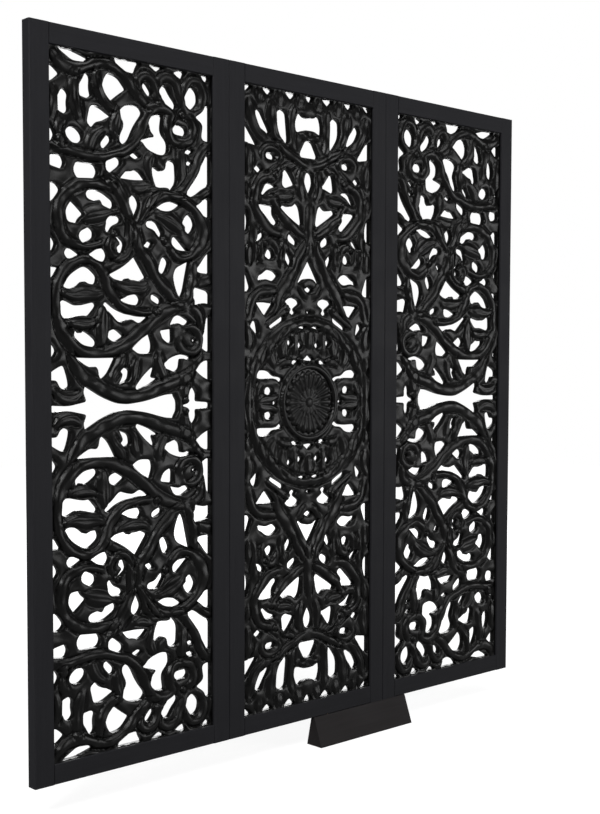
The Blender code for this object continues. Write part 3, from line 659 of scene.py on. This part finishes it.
def stained_wood(name, dark, light, roughness, shine, grain):
    """Black stained wood: grain drawn out along one axis, faint cloudiness, and pores in the bump."""
    material = bpy.data.materials.new(name)
    material.use_nodes = True
    nodes = material.node_tree.nodes
    links = material.node_tree.links
    shader = nodes["Principled BSDF"]
    shader.inputs["Specular IOR Level"].default_value = shine
    coordinates = nodes.new("ShaderNodeTexCoord")
    stretch = nodes.new("ShaderNodeMapping")
    stretch.inputs["Scale"].default_value = grain
    links.new(coordinates.outputs["Object"], stretch.inputs["Vector"])
    fibre = nodes.new("ShaderNodeTexNoise")
    fibre.inputs["Scale"].default_value = 1
    fibre.inputs["Detail"].default_value = 6
    fibre.inputs["Roughness"].default_value = 0.6
    fibre.inputs["Distortion"].default_value = 0.4
    links.new(stretch.outputs["Vector"], fibre.inputs["Vector"])
    cloud = nodes.new("ShaderNodeTexNoise")
    cloud.inputs["Scale"].default_value = 14
    cloud.inputs["Detail"].default_value = 3
    links.new(coordinates.outputs["Object"], cloud.inputs["Vector"])
    blend = nodes.new("ShaderNodeMix")
    blend.data_type = "FLOAT"
    blend.inputs[0].default_value = 0.4
    links.new(fibre.outputs["Fac"], blend.inputs[2])
    links.new(cloud.outputs["Fac"], blend.inputs[3])
    ramp = nodes.new("ShaderNodeValToRGB")
    ramp.color_ramp.elements[0].position = 0.3
    ramp.color_ramp.elements[0].color = (*dark, 1)
    ramp.color_ramp.elements[1].position = 0.72
    ramp.color_ramp.elements[1].color = (*light, 1)
    links.new(blend.outputs[0], ramp.inputs["Fac"])
    links.new(ramp.outputs["Color"], shader.inputs["Base Color"])
    polish = nodes.new("ShaderNodeMapRange")
    polish.inputs["From Min"].default_value = 0.3
    polish.inputs["From Max"].default_value = 0.7
    polish.inputs["To Min"].default_value = roughness - 0.07
    polish.inputs["To Max"].default_value = roughness + 0.09
    links.new(cloud.outputs["Fac"], polish.inputs["Value"])
    links.new(polish.outputs["Result"], shader.inputs["Roughness"])
    bump = nodes.new("ShaderNodeBump")
    bump.inputs["Strength"].default_value = 0.25
    bump.inputs["Distance"].default_value = 0.0004
    links.new(fibre.outputs["Fac"], bump.inputs["Height"])
    links.new(bump.outputs["Normal"], shader.inputs["Normal"])
    return material


# The finishes: dark and light of the grain, roughness, shine, and the grain's fineness along x, y and z
FRAME_DARK = (0.0095, 0.0095, 0.0109)
FRAME_LIGHT = (0.0139, 0.0139, 0.0158)
CARVING_DARK = (0.0013, 0.0013, 0.0013)
CARVING_LIGHT = (0.0035, 0.0034, 0.0033)
BLOCK_DARK = (0.0111, 0.0100, 0.0102)
BLOCK_LIGHT = (0.0167, 0.0151, 0.0154)
DOWEL_DARK = (0.42, 0.28, 0.15)
DOWEL_LIGHT = (0.6, 0.43, 0.26)
STILE_BLACK = stained_wood(
    "Black stained stile", FRAME_DARK, FRAME_LIGHT, 0.6, 0.067, (260, 260, 9))
RAIL_BLACK = stained_wood(
    "Black stained rail", FRAME_DARK, FRAME_LIGHT, 0.6, 0.067, (9, 260, 260))
CARVED_BLACK = stained_wood(
    "Black stained carving", CARVING_DARK, CARVING_LIGHT, 0.36, 0.17, (220, 220, 24))
FOOT_BLACK = stained_wood(
    "Black stained block", BLOCK_DARK, BLOCK_LIGHT, 0.62, 0.056, (9, 220, 220))
DOWEL_WOOD = stained_wood(
    "Pale dowel wood", DOWEL_DARK, DOWEL_LIGHT, 0.6, 0.4, (40, 500, 500))

for node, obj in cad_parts.items():
    if "stile" in node:
        finish = STILE_BLACK
    elif "rail" in node:
        finish = RAIL_BLACK
    elif "dowel" in node:
        finish = DOWEL_WOOD
    elif node == "foot_block":
        finish = FOOT_BLACK
    else:
        finish = CARVED_BLACK
    obj.data.materials.clear()
    obj.data.materials.append(finish)

side_outlines = outlines_of("left_leaf_fretwork", SIDE_ZERO)
side_verts, side_faces = carved_board(side_outlines, SIDE_TIPS, side_height)
centre_outlines = outlines_of("centre_leaf_fretwork", 0.0)
centre_verts, centre_faces = carved_board(centre_outlines, CENTRE_TIPS, centre_height)
BOARDS = {
    "left_leaf": (side_verts, side_faces, SIDE_ZERO, False),
    "centre_leaf": (centre_verts, centre_faces, 0.0, False),
    "right_leaf": (side_verts, side_faces, -SIDE_ZERO, True),
}
for leaf, (verts, faces, x_at, mirror) in BOARDS.items():
    carving = board_object(leaf + "_carving", verts, faces, x_at, mirror, CARVED_BLACK)
    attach(carving, "root")
    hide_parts(leaf + "_fretwork")

# Floor, light and camera
FLOOR_SIZE = 12
FLOOR_GAP = 0.0005
FLOOR_GREY = (0.25, 0.25, 0.25, 1)


def combined(tree, operation, first, second):
    """A Math node on two values, each a socket or a plain number."""
    node = tree.nodes.new("ShaderNodeMath")
    node.operation = operation
    for socket, value in zip(node.inputs, (first, second)):
        if isinstance(value, bpy.types.NodeSocket):
            tree.links.new(value, socket)
        else:
            socket.default_value = value
    return node.outputs[0]


def ranged(tree, value, from_range, to_range):
    """A Map Range node that takes a value from one range to another."""
    node = tree.nodes.new("ShaderNodeMapRange")
    node.inputs["From Min"].default_value, node.inputs["From Max"].default_value = from_range
    node.inputs["To Min"].default_value, node.inputs["To Max"].default_value = to_range
    tree.links.new(value, node.inputs["Value"])
    return node.outputs["Result"]


def mirrored_rays(tree, path):
    """1 for rays that reach a surface as a reflection or through glass."""
    return combined(tree, "MAXIMUM", path.outputs["Is Glossy Ray"], path.outputs["Is Transmission Ray"])


def white_paper():
    """Floor paper: near white to the camera, whiter away from the panel, and dim in reflections."""
    paper = bpy.data.materials.new("White paper floor")
    paper.use_nodes = True
    tree = paper.node_tree
    shader = tree.nodes["Principled BSDF"]
    shader.inputs["Base Color"].default_value = FLOOR_GREY
    shader.inputs["Roughness"].default_value = 1
    shader.inputs["Specular IOR Level"].default_value = 0
    path = tree.nodes.new("ShaderNodeLightPath")
    dimmed = combined(tree, "MULTIPLY", mirrored_rays(tree, path), 0.05)
    place = tree.nodes.new("ShaderNodeTexCoord")
    away = tree.nodes.new("ShaderNodeVectorMath")
    away.operation = "LENGTH"
    tree.links.new(place.outputs["Object"], away.inputs[0])
    whiteness = ranged(tree, away.outputs["Value"], (0.6, 1.8), (0.82, 1.0))
    seen = combined(tree, "MULTIPLY", path.outputs["Is Camera Ray"], whiteness)
    glow = tree.nodes.new("ShaderNodeEmission")
    tree.links.new(combined(tree, "MAXIMUM", seen, dimmed), glow.inputs["Strength"])
    both = tree.nodes.new("ShaderNodeAddShader")
    tree.links.new(shader.outputs[0], both.inputs[0])
    tree.links.new(glow.outputs[0], both.inputs[1])
    tree.links.new(both.outputs[0], tree.nodes["Material Output"].inputs["Surface"])
    return paper


deselect()
bpy.ops.mesh.primitive_plane_add(size=FLOOR_SIZE, location=(0, 0, CAD_BOX[0].z - FLOOR_GAP))
floor = bpy.context.active_object
floor.name = "floor"
floor.data.materials.append(white_paper())

# The world: white to the camera, and a soft level that is higher from behind for light and reflections
world = bpy.data.worlds.new("Studio")
bpy.context.scene.world = world
world.use_nodes = True
sky = world.node_tree
backdrop = sky.nodes["Background"]
backdrop.inputs["Color"].default_value = (1, 1, 1, 1)
way = sky.nodes.new("ShaderNodeTexCoord")
split = sky.nodes.new("ShaderNodeSeparateXYZ")
sky.links.new(way.outputs["Generated"], split.inputs[0])
front_to_back = (-0.2, 0.2)
soft = ranged(sky, split.outputs["Y"], front_to_back, (0.12, 0.5))
reflected = ranged(sky, split.outputs["Y"], front_to_back, (0.02, 0.09))
rays = sky.nodes.new("ShaderNodeLightPath")
strength = sky.nodes.new("ShaderNodeMix")
sky.links.new(mirrored_rays(sky, rays), strength.inputs[0])
sky.links.new(soft, strength.inputs[2])
sky.links.new(reflected, strength.inputs[3])
shown_white = sky.nodes.new("ShaderNodeMix")
shown_white.inputs[3].default_value = 1.0
sky.links.new(rays.outputs["Is Camera Ray"], shown_white.inputs[0])
sky.links.new(strength.outputs[0], shown_white.inputs[2])
sky.links.new(shown_white.outputs[0], backdrop.inputs["Strength"])

# Each lamp's place from the panel's middle and its size, in metres, and its power in watts
LAMPS = {
    "key": ((-2.8, -1.7, 2.2), (1.2, 1.2), 145),
    "softbox": ((2.4, -3.0, 0.3), (2.8, 1.3), 77),
    "top": ((0.3, -1.2, 3.0), (2.0, 1.0), 48),
    "side fill": ((-3.0, 0.5, 0.2), (1.0, 1.6), 22),
    "back softbox": ((2.4, 3.0, 0.6), (2.2, 1.4), 75),
}
PANEL_MIDDLE = Vector((0, 0, MID_HEIGHT))
for name, (place, size, power) in LAMPS.items():
    light = bpy.data.lights.new(name, "AREA")
    light.shape = "RECTANGLE"
    light.size, light.size_y = size
    light.energy = power
    lamp = bpy.data.objects.new(name, light)
    bpy.context.scene.collection.objects.link(lamp)
    lamp.location = PANEL_MIDDLE + Vector(place)
    lamp.rotation_euler = (-Vector(place)).to_track_quat("-Z", "Y").to_euler()

# The camera, with its lengths in pixels of the picture
PICTURE_HEIGHT = 814
FOCAL_LENGTH = 1280.36
SHIFT = (-0.5, 23.957)
CAMERA_PLACE = (-1.656673, -1.751446, 0.075765)
CAMERA_TURN = (86.90613, -0.14991, -43.23933)
camera = bpy.data.cameras.new("Camera")
camera.sensor_fit = "AUTO"
camera.sensor_width = 36
camera.lens = camera.sensor_width * FOCAL_LENGTH / PICTURE_HEIGHT
camera.shift_x = SHIFT[0] / PICTURE_HEIGHT
camera.shift_y = SHIFT[1] / PICTURE_HEIGHT
camera.clip_end = 60
viewer = bpy.data.objects.new("Camera", camera)
bpy.context.scene.collection.objects.link(viewer)
viewer.location = PANEL_MIDDLE + Vector(CAMERA_PLACE)
viewer.rotation_euler = [math.radians(angle) for angle in CAMERA_TURN]
bpy.context.scene.camera = viewer
bpy.context.scene.view_settings.view_transform = "Standard"
